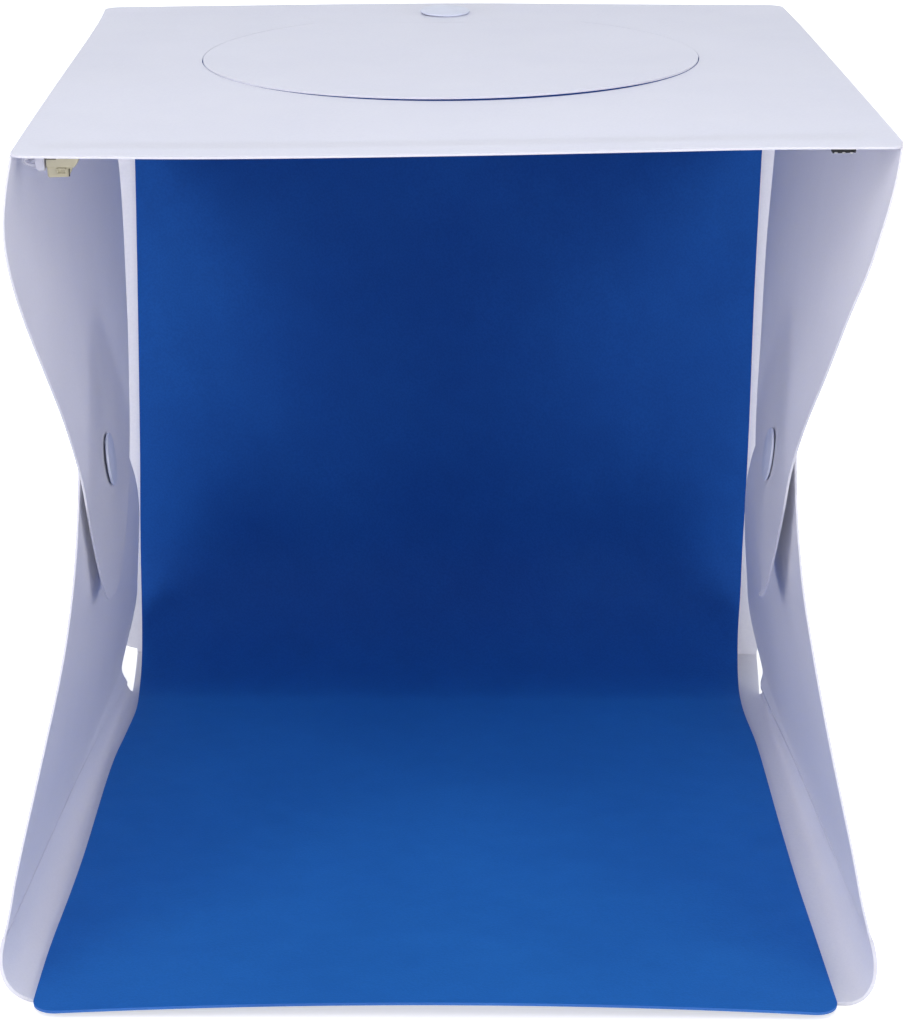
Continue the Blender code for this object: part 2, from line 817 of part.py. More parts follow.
def make_plug(socket_left, y):
    """Pale plug block against the housing's left side, with two leads looping up to the strip's end."""
    high = top_under - seat
    centre = Vector((socket_left - seat - plug_length / 2, y, high - plug_tall / 2))
    block("lead_plug", centre, (plug_length, plug_depth, plug_tall), pale, top_pivot, bevel=plug_round)
    face_x = centre[0] - plug_length / 2 - seat
    for number, side in enumerate((-1, 1), 1):
        low = Vector((face_x, y + side * lead_pitch / 2, centre[2] - plug_tall / 4))
        points = [low]
        for step in range(2 * corner_steps + 1):
            turn = math.pi * step / (2 * corner_steps)
            out = lead_radius + lead_loop * math.sin(turn)
            rise = plug_tall / 2 * (1 - math.cos(turn)) / 2
            points.append(low + Vector((-out, 0.0, rise)))
        points.append(low + Vector((0.0, 0.0, plug_tall / 2)))
        wire(f"led_lead_{number}", points, lead_radius, pale, top_pivot)


clear_scene()
tent = new_collection("light_tent")
cutters = new_collection("cutters")

white = new_material("white_sheet", (0.80, 0.80, 0.86), 0.42)
plastic = new_material("white_plastic", (0.72, 0.76, 0.86), 0.30)
blue = new_material("blue_sheet", (0.013, 0.075, 0.38), 0.55)
foam = new_material("tape_foam", (0.85, 0.85, 0.84), 0.80)
board_white = new_material("board_white", (0.86, 0.87, 0.86), 0.35)
phosphor = new_material("led_phosphor", (0.90, 0.78, 0.25), 0.40)
dark = new_material("dark_part", (0.02, 0.02, 0.03), 0.45)
tin = new_material("tin_plate", (0.62, 0.62, 0.64), 0.30, 1.0)
cream = new_material("cream_housing", (0.62, 0.58, 0.43), 0.45)
pale = new_material("pale_plug", (0.78, 0.78, 0.86), 0.35)

back_pivot = pivot("back_fold", (0.0, back_face, sheet + seam / 2))
top_pivot = pivot("top_fold", (0.0, back_face, top_under - seam / 2), back_pivot)
lid_pivot = pivot("lid_fold", (0.0, hinge_y - window_slit / 2, height), top_pivot)
left_upper_pivot = pivot("left_upper_fold", (-upper_root_x + sheet / 2, 0.0, top_under - seam / 2), top_pivot)
right_upper_pivot = pivot("right_upper_fold", (upper_root_x - sheet / 2, 0.0, top_under - seam / 2), top_pivot)
left_lower_pivot = pivot("left_lower_fold", lower_fold_spot(-1))
right_lower_pivot = pivot("right_lower_fold", lower_fold_spot(1))

make_base()
make_back()
make_top()
make_upper_flap("left_upper_flap", -1, left_upper_pivot)
make_upper_flap("right_upper_flap", 1, right_upper_pivot)
make_lower_flap("left_lower_flap", -1, left_lower_pivot)
make_lower_flap("right_lower_flap", 1, right_lower_pivot)
make_snaps()
make_backdrop()
make_tab()
make_strip()
make_power_socket()
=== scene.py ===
"""Looks of the folding light tent: its white sheets, blue sweep, snaps and LED strip as numpy surfaces."""

import math

import bmesh
import bpy
import numpy as np
from mathutils import Matrix

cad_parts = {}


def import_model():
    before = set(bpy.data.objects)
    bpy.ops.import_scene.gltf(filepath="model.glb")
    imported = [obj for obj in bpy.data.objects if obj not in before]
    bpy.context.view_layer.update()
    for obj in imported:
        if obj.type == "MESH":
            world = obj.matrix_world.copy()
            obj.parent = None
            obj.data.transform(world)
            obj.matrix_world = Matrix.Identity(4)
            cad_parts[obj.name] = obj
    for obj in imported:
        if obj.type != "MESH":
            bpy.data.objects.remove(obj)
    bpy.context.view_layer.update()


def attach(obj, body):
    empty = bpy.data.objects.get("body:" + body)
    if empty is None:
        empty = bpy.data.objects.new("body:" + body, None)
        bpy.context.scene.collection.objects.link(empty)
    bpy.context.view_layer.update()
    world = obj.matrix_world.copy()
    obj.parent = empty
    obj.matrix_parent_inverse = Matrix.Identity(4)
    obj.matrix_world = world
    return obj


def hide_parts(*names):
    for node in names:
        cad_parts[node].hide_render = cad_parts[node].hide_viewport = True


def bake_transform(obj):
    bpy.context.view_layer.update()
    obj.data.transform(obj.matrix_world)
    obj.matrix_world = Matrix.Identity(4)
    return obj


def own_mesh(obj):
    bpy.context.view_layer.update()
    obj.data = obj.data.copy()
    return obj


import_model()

# Sizes of the frame, in metres
sheet = 0.0010
top_width, top_depth, height = 0.226, 0.240, 0.230
back_face, front_face = top_depth / 2, -top_depth / 2
top_under = height - sheet
floor_half = 0.109
base_front, lip_rear = front_face - 0.0204, back_face - 0.008
lip_radius_front, lip_radius_rear = 0.0115, 0.0016
snap_height, snap_y = 0.114, -0.008
waist_pinch, waist_toe = 0.0117, 0.030
snap_tilt = 0.10
upper_root_x, upper_root_z = top_width / 2 - sheet / 2, top_under - 0.0001
flap_pitch = sheet + 0.0028
straight_height = 0.095
tongue_past_snap = 0.044
flap_root_half = 0.112
window_radius, window_y, hinge_half = 0.0744, 0.0296, 0.0434
hinge_y = window_y + math.sqrt(window_radius ** 2 - hinge_half ** 2)
top_snap_y = back_face - 0.012
strip_y = front_face + 0.0145
strip_left, strip_right = -0.0945, 0.105
snap_gap = 0.0028  # between the two sheets that a snap holds

# Sizes of the visible sheets, in metres
thin = 0.0006
top_face = height - 0.0001
lip_end = 0.0820
neck_left, neck_right = 0.1075, 0.1128
sheet_corner = 0.0045

# The set-up tent is not quite square: its top rolls and sags a little, its front is pushed to the right and its
# waist leans to the left
top_roll = 0.0128
top_sag = 0.0011
front_shift = 0.0018
waist_shift = 0.0011
waist_squeeze = 0.0075
front_dip = ((-0.113, -0.0007), (-0.100, -0.0009), (-0.060, -0.0013), (0.0, -0.0009), (0.050, -0.0002),
             (0.080, 0.0002), (0.113, 0.00008))
rear_curl = ((-0.113, 0.0007), (0.0, 0.0013), (0.060, 0.0006), (0.113, 0.0))
left_side = ((0.0, -0.0002), (0.25, -0.0003), (0.5, 0.0), (0.85, 0.0011), (1.0, 0.0011))
right_side = ((0.0, 0.0010), (0.25, 0.0014), (0.5, 0.0013), (0.8, 0.0002), (1.0, -0.0014))

# How far each flap stands off its plain place along x, as (height, shift) along its front edge and its rear edge
leans = {
    "left_upper": (((0.070, -0.0003), (0.105, -0.0008), (0.130, -0.0013), (0.165, -0.0010), (0.198, -0.0022),
                    (0.212, -0.0021), (0.229, 0.0)),
                   ((0.070, 0.0002), (0.085, 0.0010), (0.104, 0.0006), (0.123, -0.0003), (0.155, -0.0006),
                    (0.183, 0.0002), (0.229, 0.0))),
    "left_lower": (((0.000, 0.0), (0.016, 0.0), (0.026, -0.0011), (0.055, -0.0014), (0.081, -0.0003),
                    (0.105, 0.0004), (0.158, 0.0)),
                   ((0.000, 0.0052), (0.004, 0.0040), (0.009, 0.0012), (0.030, 0.0009), (0.047, 0.0),
                    (0.075, -0.0008), (0.105, -0.0006), (0.158, 0.0))),
    "right_upper": (((0.070, -0.0033), (0.090, -0.0031), (0.120, -0.0032), (0.149, -0.0045), (0.182, -0.0063),
                     (0.202, -0.0050), (0.215, -0.0034), (0.226, -0.0016), (0.229, -0.0010)),
                    ((0.070, -0.0006), (0.082, -0.0008), (0.098, 0.0002), (0.119, 0.0018), (0.138, 0.0028),
                     (0.166, 0.0020), (0.187, 0.0013), (0.229, 0.0))),
    "right_lower": (((0.000, -0.0026), (0.014, -0.0032), (0.031, -0.0022), (0.056, -0.0016), (0.075, -0.0018),
                     (0.095, -0.0030), (0.116, -0.0037), (0.158, -0.0034)),
                    ((0.000, 0.0017), (0.004, -0.0012), (0.009, 0.0003), (0.030, 0.0006), (0.050, 0.0010),
                     (0.062, 0.0013), (0.105, 0.0014), (0.158, 0.0010))),
}


# Helpers

def smooth_step(low, high, value):
    """0 below low, 1 above high, with level ends in between: 3t^2 - 2t^3."""
    t = np.clip((np.asarray(value) - low) / (high - low), 0.0, 1.0)
    return t * t * (3 - 2 * t)


def settle(points):
    """Move points as the set-up tent leans. The roll lifts by a share of x, in full above the snaps. The sag
    is a half sine from front to rear, on the top alone, as are the dip of its front edge, which fades with a
    cube, the curl of its rear edge, and the shift of its two sides. The front shift grows with height and towards
    the front. The waist's lean and squeeze are a squared sine of the height, and fade out towards the back."""
    points = np.array(points, float)
    x, y, z = points[..., 0].copy(), points[..., 1], points[..., 2].copy()
    along = np.clip((y - front_face) / top_depth, 0, 1)
    warp = through(front_dip, x) * (1 - along) ** 3 + through(rear_curl, x) * smooth_step(0.104, back_face, y)
    warp = (warp - top_sag * np.sin(math.pi * along)) * smooth_step(0.20, top_under, z)
    points[..., 2] += smooth_step(0.010, 0.105, z) * top_roll * x + warp
    place = np.clip(x / top_width + 0.5, 0, 1)
    side_shift = through(left_side, along) * (1 - place) + through(right_side, along) * place
    points[..., 0] += side_shift * smooth_step(0.205, top_under, z)
    waist = np.sin(math.pi * np.clip(z / height, 0, 1)) ** 2 * smooth_step(0.112, 0.050, y)
    points[..., 0] += smooth_step(0.0, height, z) * front_shift * (1 - along)
    points[..., 0] -= waist * (waist_shift + waist_squeeze * x)
    return points


def through(table, places):
    """Smooth curve through (place, value) pairs: on each span a cubic whose end slopes are those of the
    chords over both neighbours."""
    spots, values = np.array(table).T
    chord = np.gradient(values, spots)
    chord[1:-1] = (values[2:] - values[:-2]) / (spots[2:] - spots[:-2])
    places = np.clip(places, spots[0], spots[-1])
    i = np.clip(np.searchsorted(spots, places, side="right") - 1, 0, len(spots) - 2)
    span = spots[i + 1] - spots[i]
    t = (places - spots[i]) / span
    start, end, rise = chord[i] * span, chord[i + 1] * span, values[i + 1] - values[i]
    return values[i] + t * (start + t * (3 * rise - 2 * start - end + t * (start + end - 2 * rise)))


def build(name, vertices, faces, materials, body, nodes=(), slots=None):
    """Put arrays of vertices and faces into a mesh whose object sits at the origin and rides on a body."""
    mesh = bpy.data.meshes.new(name)
    mesh.from_pydata(np.asarray(vertices).tolist(), [], [[int(i) for i in face] for face in faces])
    for material in materials:
        mesh.materials.append(material)
    if slots is not None:
        mesh.polygons.foreach_set("material_index", np.asarray(slots, np.int32))
    mesh.shade_smooth()
    mesh.set_sharp_from_angle(angle=math.radians(35))
    mesh.update()
    item = bpy.data.objects.new(name, mesh)
    bpy.context.scene.collection.objects.link(item)
    if body:
        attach(item, body)
    if nodes:
        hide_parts(*nodes)
    return item


def shell(name, points, thickness, materials, body, nodes=(), kept=None):
    """A closed sheet about a grid of points: two layers half the thickness along and against the cross
    product of the grid's two directions, and a strip of quads round every border, with its own material."""
    rows, columns = points.shape[:2]
    normal = np.cross(np.gradient(points, axis=1), np.gradient(points, axis=0))
    normal /= np.linalg.norm(normal, axis=-1, keepdims=True)
    index = np.arange(rows * columns).reshape(rows, columns)
    quads = np.stack((index[:-1, :-1], index[:-1, 1:], index[1:, 1:], index[1:, :-1]), -1)
    quads = quads[kept] if kept is not None else quads.reshape(-1, 4)
    count = rows * columns
    start = quads.ravel()
    end = np.roll(quads, -1, axis=1).ravel()
    border = ~np.isin(start * count + end, end * count + start)
    a, b = start[border], end[border]
    rim = np.stack((b, a, a + count, b + count), -1)
    faces = np.concatenate((quads, quads[:, ::-1] + count, rim))
    half = normal.reshape(-1, 3) * thickness / 2
    flat = points.reshape(-1, 3)
    slots = np.zeros(len(faces), int)
    slots[2 * len(quads):] = 1
    vertices = np.concatenate((flat + half, flat - half))
    used, faces = np.unique(faces, return_inverse=True)
    return build(name, vertices[used], faces.reshape(-1, 4), materials, body, nodes, slots)


# Materials

def new_material(name, colour, roughness, metallic=0.0, **constants):
    """A Principled shader with these constants set on its own sockets."""
    material = bpy.data.materials.new(name)
    material.use_nodes = True
    shader = material.node_tree.nodes["Principled BSDF"]
    shader.inputs["Base Color"].default_value = (*colour, 1.0)
    shader.inputs["Roughness"].default_value = roughness
    shader.inputs["Metallic"].default_value = metallic
    for socket, value in constants.items():
        shader.inputs[socket.replace("_", " ")].default_value = value
    return material


def add_node(tree, kind, inputs=None, **settings):
    """A shader node. An input is given as a value or as the output that feeds it."""
    node = tree.nodes.new("ShaderNode" + kind)
    for word, value in settings.items():
        setattr(node, word, value)
    for socket, value in (inputs or {}).items():
        if isinstance(value, bpy.types.NodeSocket):
            tree.links.new(value, node.inputs[socket])
        else:
            node.inputs[socket].default_value = value
    return node


def noise(material, scale, detail=2.0):
    """A noise pattern on Object coordinates. Scale is in cycles per metre."""
    where = add_node(material.node_tree, "TexCoord").outputs["Object"]
    return add_node(material.node_tree, "TexNoise", {"Scale": scale, "Detail": detail, "Vector": where}).outputs["Fac"]


def ramp(material, source, low, high, start=0.35, end=0.65):
    """Colours from low to high as the source goes from start to end."""
    node = add_node(material.node_tree, "ValToRGB", {"Fac": source})
    for element, place, colour in zip(node.color_ramp.elements, (start, end), (low, high)):
        element.position = place
        element.color = (*colour, 1.0)
    return node.outputs["Color"]


def multiplied(material, first, second):
    """Two colours multiplied."""
    return add_node(material.node_tree, "Mix", {"Factor": 1.0, "A": first, "B": second},
                    data_type="RGBA", blend_type="MULTIPLY").outputs["Result"]


def shader_input(material, socket, source):
    """Link a pattern to one socket of the shader."""
    shader = material.node_tree.nodes["Principled BSDF"]
    material.node_tree.links.new(source, shader.inputs[socket])


def rough_between(material, source, low, high):
    """Roughness that goes from low to high with a pattern."""
    node = add_node(material.node_tree, "MapRange", {"To Min": low, "To Max": high, "Value": source})
    shader_input(material, "Roughness", node.outputs["Result"])


def bumps(material, layers):
    """Chain of bumps, each (source, depth in metres)."""
    last = {}
    for source, depth in layers:
        node = add_node(material.node_tree, "Bump", {"Distance": depth, "Height": source, **last})
        last = {"Normal": node.outputs["Normal"]}
    shader_input(material, "Normal", last["Normal"])


def sheet_material(name, low, high, roughness):
    """Satin polypropylene: faint cloudy tone, fine orange-peel grain and a slightly wavy surface."""
    material = new_material(name, high, roughness, Subsurface_Weight=0.30, Subsurface_Scale=0.003)
    material.node_tree.nodes["Principled BSDF"].inputs["Subsurface Radius"].default_value = (1.0, 1.0, 1.15)
    cloud = noise(material, 14.0, 3.0)
    grain = noise(material, 1400.0)
    tone = ramp(material, cloud, low, high)
    speck = ramp(material, grain, (0.97, 0.97, 0.98), (1.0, 1.0, 1.0), 0.35, 0.6)
    shader_input(material, "Base Color", multiplied(material, tone, speck))
    rough_between(material, noise(material, 60.0), roughness - 0.06, roughness + 0.08)
    bumps(material, ((noise(material, 22.0), 0.0006), (grain, 0.00002)))
    return material


def blue_material():
    """Matt blue sheet: uneven tone in soft blotches, fine fibre flecks and a faint mottle."""
    material = new_material("blue_sheet_surface", (0.012, 0.085, 0.40), 0.65, Specular_IOR_Level=0.12,
                            Sheen_Weight=0.95, Sheen_Roughness=0.5)
    material.node_tree.nodes["Principled BSDF"].inputs["Sheen Tint"].default_value = (0.045, 0.35, 1.0, 1.0)
    broad = ramp(material, noise(material, 16.0, 4.0), (0.0066, 0.072, 0.350), (0.0090, 0.086, 0.385))
    mottle = ramp(material, noise(material, 95.0, 3.0), (0.93, 0.94, 0.95), (1.0, 1.0, 1.0), 0.35, 0.62)
    fleck = ramp(material, noise(material, 1500.0), (0.86, 0.88, 0.90), (1.0, 1.0, 1.0), 0.38, 0.60)
    tone = multiplied(material, broad, mottle)
    shader_input(material, "Base Color", multiplied(material, tone, fleck))
    rough_between(material, noise(material, 120.0), 0.60, 0.74)
    bumps(material, ((noise(material, 30.0), 0.0005), (noise(material, 1500.0), 0.00004)))
    return material


def moulded_material(name, colour, roughness, metallic=0.0, tint=0.06):
    """Moulded or plated piece: slight tone change and a fine grain."""
    material = new_material(name, colour, roughness, metallic)
    low = tuple(channel * (1 - tint) for channel in colour)
    shader_input(material, "Base Color", ramp(material, noise(material, 180.0), low, colour))
    rough_between(material, noise(material, 400.0), roughness - 0.05, roughness + 0.07)
    bumps(material, ((noise(material, 900.0), 0.00002),))
    return material


white = sheet_material("white_sheet_surface", (0.79, 0.79, 0.89), (0.82, 0.82, 0.92), 0.42)
cut_edge = sheet_material("white_cut_edge", (0.74, 0.74, 0.84), (0.78, 0.78, 0.88), 0.55)
blue = blue_material()
blue_edge = sheet_material("blue_cut_edge", (0.02, 0.12, 0.45), (0.03, 0.16, 0.55), 0.60)
snap_plastic = moulded_material("snap_plastic", (0.70, 0.74, 0.88), 0.30)
tape_surface = moulded_material("tape_surface", (0.85, 0.85, 0.83), 0.85)
board_surface = moulded_material("board_surface", (0.86, 0.87, 0.86), 0.35)
phosphor = moulded_material("phosphor_surface", (0.90, 0.76, 0.22), 0.40)
package = moulded_material("package_surface", (0.88, 0.88, 0.85), 0.45)
dark = moulded_material("dark_surface", (0.02, 0.02, 0.025), 0.45, tint=0.3)
tin = moulded_material("tin_surface", (0.62, 0.62, 0.64), 0.28, metallic=1.0)
cream = moulded_material("cream_surface", (0.60, 0.56, 0.41), 0.42)
# Dark colour of painted shade, for the socket housing's slot and shadow lines
slot_shade = moulded_material("painted_slot_shade", (0.07, 0.06, 0.05), 0.7, tint=0.2)
pale = moulded_material("pale_surface", (0.76, 0.76, 0.86), 0.38)


# Side flaps and base, as in the frame but finer

def lean(flap, share, z):
    """A flap's shift at heights z and at shares of the way from its front edge to its rear edge."""
    front, rear = leans[flap]
    return through(front, z) * (1 - share) + through(rear, z) * share


def near_snap(y, z, reach):
    """Bell curve of the distance from a side snap."""
    return np.exp(-((y - snap_y) ** 2 + (z - snap_height) ** 2) / reach ** 2)


def pucker(side, y, z):
    """The sheets are drawn together a little round a side snap, as a bell curve."""
    return side * 0.0005 * near_snap(y, z, 0.011)


def tip_out(side, y, z):
    """Both sheets lean outwards round a side snap: a slope that fades as a bell curve."""
    return side * snap_tilt * (z - snap_height) * near_snap(y, z, 0.017)


tip_shares = ((-1.000, 0.012), (-0.992, 0.037), (-0.975, 0.062), (-0.940, 0.095), (-0.860, 0.138), (-0.740, 0.185),
              (-0.430, 0.285), (-0.080, 0.380))
upper_root_shares = ((0.100, 0.460), (0.270, 0.610), (0.450, 0.795), (0.620, 0.945), (0.760, 1.035), (0.860, 1.055),
                     (0.940, 1.035), (1.000, 1.000))
lower_front_shares = ((0.100, 0.450), (0.270, 0.575), (0.380, 0.668), (0.470, 0.757), (0.580, 0.862), (0.680, 0.945),
                      (0.800, 1.012), (0.870, 1.085), (1.000, 1.200))
lower_rear_shares = ((0.050, 0.475), (0.123, 0.565), (0.246, 0.735), (0.351, 0.865), (0.456, 0.940), (0.579, 0.968),
                     (0.693, 0.985), (0.760, 1.012), (0.829, 0.995), (0.877, 0.920), (0.920, 0.825), (1.000, 0.810))


def outline(root_shares, way):
    """(distance from the snap, half width) of one edge of a flap, from the tip on."""
    pairs = [(share * tongue_past_snap, width * flap_root_half) for share, width in tip_shares]
    return pairs + [(share * way, width * flap_root_half) for share, width in root_shares]


def upper_half(y, z):
    """Distance of the upper flap from the middle: it leaves the top's edge upright, is drawn in by an S-curve
    3t^2 - 2t^3 down to the snap and hangs straight below. The draw grows towards the rear."""
    drawn = smooth_step(upper_root_z, snap_height, z)
    return upper_root_x - (waist_pinch + waist_toe * (y - snap_y)) * drawn


def lip_radius(y):
    """Radius of the base's side bend: straight from its front value to its rear one."""
    return lip_radius_front + (lip_radius_rear - lip_radius_front) * (y - base_front) / (lip_rear - base_front)


def lip_lean(y):
    """Angle past upright at which the lip ends, so that the lower flap meets the waist's plane."""
    radius = lip_radius(y)
    draw_in = floor_half + radius - upper_half(y, straight_height) - flap_pitch
    return np.arctan(draw_in * math.pi / 2 / (straight_height - radius))


def lip_point(y, share):
    """Distance from the middle and height on the base's side bend, an arc that turns past upright."""
    radius = lip_radius(y)
    angle = (math.pi / 2 + lip_lean(y)) * share
    return floor_half + radius * np.sin(angle), sheet / 2 + radius * (1 - np.cos(angle))


def lower_half(y, z, root_x, root_z):
    """Distance of the lower flap from the middle: a quarter sine from the lip to the waist, then beside the
    upper flap."""
    waist = upper_half(y, straight_height) + flap_pitch
    up = np.clip((z - root_z) / (straight_height - root_z), 0.0, 1.0)
    leaning = root_x + (waist - root_x) * np.sin(math.pi / 2 * up)
    return np.where(z >= straight_height, upper_half(y, z) + flap_pitch, leaning)


def upper_flap(side, rows=150, columns=56):
    """Rows from the root to the tip, crowding at both ends. Each runs from the front edge to the rear edge."""
    climb = (1 - np.cos(math.pi * np.linspace(0, 1, rows))) / 2
    root_z = top_face - thin + 0.0001
    z = root_z - (root_z - snap_height + tongue_past_snap) * climb
    half = through(outline(upper_root_shares, upper_root_z - snap_height), z - snap_height)
    z = np.repeat(z[:, None], columns, 1)
    share = np.linspace(0, 1, columns)[None]
    y = snap_y + half[:, None] * (2 * share - 1)
    word = "left" if side < 0 else "right"
    x = side * upper_half(y, z) + lean(word + "_upper", share, z) + pucker(side, y, z) + tip_out(side, y, z)
    points = np.stack((x, y, z), -1)
    points = settle(points if side > 0 else points[:, ::-1])
    item = shell(word + "_upper_flap_skin", points, thin, (white, cut_edge), None, (word + "_upper_flap",))
    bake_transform(item)
    return item


def lower_flap(side, rows=150, columns=56):
    """Rows from the lip to the tip, each starting at its own height because the lip rises to the front."""
    climb = (1 - np.cos(math.pi * np.linspace(0, 1, rows))) / 2
    tip_z = snap_height + tongue_past_snap
    edges = []
    for table, way in ((lower_front_shares, -1), (lower_rear_shares, 1)):
        y = np.full(rows, snap_y)
        for _ in range(8):
            root_z = lip_point(y, 1.0)[1]
            y = snap_y + way * through(outline(table, snap_height), snap_height - root_z - climb * (tip_z - root_z))
        edges.append(y)
    share = np.linspace(0, 1, columns)[None]
    y = edges[0][:, None] + (edges[1] - edges[0])[:, None] * share
    root_x, root_z = lip_point(y, 1.0)
    z = root_z + climb[:, None] * (tip_z - root_z)
    word = "left" if side < 0 else "right"
    x = side * lower_half(y, z, root_x, root_z) + lean(word + "_lower", share, z)
    x = x - pucker(side, y, z) + tip_out(side, y, z)
    points = np.stack((x, y, z), -1)
    points = settle(points if side < 0 else points[:, ::-1])
    return shell(word + "_lower_flap_skin", points, thin, (white, cut_edge), word + "_lower", (word + "_lower_flap",))


def base_sheet(rows=90, lip_columns=14, floor_columns=24, neck_rows=14):
    """Columns go up the left lip, over the floor and up the right lip. The lips' front corners are set back
    with the cube of the way up. Behind the lips only the floor goes on, as a neck."""
    lift = np.concatenate((np.linspace(1, 0, lip_columns, endpoint=False), np.zeros(floor_columns + 1),
                           np.linspace(0, 1, lip_columns + 1)[1:]))
    across = np.concatenate((np.full(lip_columns, -1.0), np.linspace(-1, 1, floor_columns + 1),
                             np.full(lip_columns, 1.0)))
    inside, set_back, slant = 0.000003, 0.010, 0.0012  # the first keeps the edge within the CAD box
    front = base_front + inside + set_back * lift ** 3
    rear = lip_end + slant * lift
    t = np.linspace(0, 1, rows)[:, None]
    y = front[None] + (rear - front)[None] * t
    neck = np.linspace(0, 1, neck_rows + 1)[1:, None]
    y = np.concatenate((y, lip_end + (back_face - lip_end) * neck + 0 * lift[None]))
    lip_x, lip_z = lip_point(np.minimum(y, lip_end), lift[None])
    x = np.where(lift[None] > 0, np.sign(across)[None] * lip_x, across[None] * floor_half)
    z = np.where(lift[None] > 0, lip_z, sheet / 2)
    share = np.clip((y - base_front) / (lip_rear - base_front), 0, 1)
    left, right = lean("left_lower", share, z), lean("right_lower", share, z)
    raised = np.sin(math.pi / 2 * lift[None])
    held = raised + (1 - raised) * share ** 2
    held[rows:] = held[rows - 1]
    on_neck = np.clip((y - lip_end) / (back_face - lip_end), 0, 1)
    left = left * held * (1 - on_neck) + (floor_half - neck_left) * on_neck
    right = right * held * (1 - on_neck) + (neck_right - floor_half) * on_neck
    x = x + np.abs(across[None]) * np.where(across[None] < 0, left, right)
    kept = np.ones((y.shape[0] - 1, y.shape[1] - 1), bool)
    kept[rows - 1:, :lip_columns] = False
    kept[rows - 1:, lip_columns + floor_columns:] = False
    return shell("base_sheet", np.stack((x, y, z), -1), sheet, (white, cut_edge), "base", ("base_panel",), kept)


# Top, lid and back

def ring_plate(name, points, thickness, materials, body, nodes, close_middle=False):
    """Closed plate on a grid whose columns run round, so that the last one meets the first. It can have a
    face of its own inside the last row."""
    rows, columns = points.shape[:2]
    index = np.arange(rows * columns).reshape(rows, columns)
    quads = ring_quads(rows, columns)
    flat = points.reshape(-1, 3)
    a, b, c = flat[quads[0, 0]], flat[quads[0, 1]], flat[quads[0, 3]]
    if np.cross(b - a, c - a)[2] < 0:
        quads = quads[:, ::-1]
    count = rows * columns
    start, end = quads.ravel(), np.roll(quads, -1, axis=1).ravel()
    border = ~np.isin(start * count + end, end * count + start)
    a, b = start[border], end[border]
    faces = [list(quad) for quad in quads] + [list(quad) for quad in quads[:, ::-1] + count]
    slots = [0] * len(faces)
    if close_middle:
        middle = index[-1]
        inner = np.isin(a, middle) & np.isin(b, middle)
        a, b = a[~inner], b[~inner]
        loop = [int(i) for i in middle]
        up = loop if np.cross(flat[loop[1]] - flat[loop[0]], flat[loop[2]] - flat[loop[0]])[2] > 0 else loop[::-1]
        faces += [up, [i + count for i in reversed(up)]]
        slots += [0, 0]
    rim = np.stack((b, a, a + count, b + count), -1)
    faces += [list(quad) for quad in rim]
    slots += [1] * len(rim)
    flat = settle(flat)
    lift = np.array((0.0, 0.0, thickness))
    vertices = np.concatenate((flat, flat - lift))
    return build(name, vertices, faces, materials, body, nodes, slots)


def window_ring(radius, chord_y, angles):
    """Circle cut off by the straight hinge line at its rear: beyond the line a point is brought back onto it."""
    x = radius * np.cos(angles)
    y = window_y + radius * np.sin(angles)
    beyond = y > chord_y
    x = np.where(beyond, (chord_y - window_y) * np.cos(angles) / np.maximum(np.sin(angles), 0.2), x)
    return np.stack((x, np.where(beyond, chord_y, y)), -1)


def square_ring(angles, half_x, low_y, high_y, corner):
    """Rounded rectangle where rays from the window's middle meet it."""
    middle = np.array((0.0, window_y))
    ray = np.stack((np.cos(angles), np.sin(angles)), -1)
    with np.errstate(divide="ignore"):
        reach_x = half_x / np.abs(ray[:, 0])
        reach_y = np.where(ray[:, 1] > 0, high_y - window_y, window_y - low_y) / np.abs(ray[:, 1])
    points = middle + ray * np.minimum(reach_x, reach_y)[:, None]
    core = np.stack((np.clip(points[:, 0], -half_x + corner, half_x - corner),
                     np.clip(points[:, 1], low_y + corner, high_y - corner)), -1)
    out = points - core
    size = np.linalg.norm(out, axis=1, keepdims=True)
    return core + out / np.maximum(size, 1e-9) * np.minimum(size, corner)


def top_angles():
    """Even angles, with more of them where rays meet the sheet's corners and the ends of the hinge line."""
    corners = [math.atan2(y - window_y, x) for x in (-top_width / 2, top_width / 2) for y in (front_face, back_face)]
    corners += [math.atan2(hinge_y - window_y, x) for x in (-hinge_half, hinge_half)]
    near = [corner + step for corner in corners for step in np.linspace(-0.03, 0.03, 13)]
    even = np.linspace(0.01, 0.01 + 2 * math.pi, 240, endpoint=False)
    angles = np.sort(np.concatenate((even, near)) % (2 * math.pi))
    return angles[np.diff(angles, prepend=-1.0) > 1e-4]


def top_sheet():
    """Rings go from the window's edge out to the sheet's edge in even steps."""
    angles = top_angles()
    inner = window_ring(window_radius, hinge_y, angles)
    outer = square_ring(angles, top_width / 2, front_face, back_face, sheet_corner)
    share = np.linspace(0, 1, 14)[:, None, None]
    grid = inner + (outer - inner) * share
    points = np.concatenate((grid, np.full((*grid.shape[:2], 1), top_face)), -1)
    return ring_plate("top_sheet", points, thin, (white, cut_edge), "top", ("top_panel",))


def lid_sheet():
    """The window's flap: it stands a little proud at its front edge, most right of the middle."""
    angles = top_angles()
    gap, hinge_gap = 0.0003, 0.0001
    ring = window_ring(window_radius - gap, hinge_y - hinge_gap, angles)
    share = np.linspace(1, 0.02, 24)[:, None, None]
    middle = np.array((0.0, window_y))
    grid = middle + (ring[None] - middle) * share
    ahead = np.clip((hinge_y - grid[..., 1]) / (hinge_y - window_y + window_radius), 0, 1)
    proud = 0.0013 * ahead ** 2 * (0.8 + 3.0 * grid[..., 0])
    points = np.concatenate((grid, (top_face + proud)[..., None]), -1)
    return ring_plate("window_lid_sheet", points, thin, (white, cut_edge), "lid", ("window_lid",), close_middle=True)


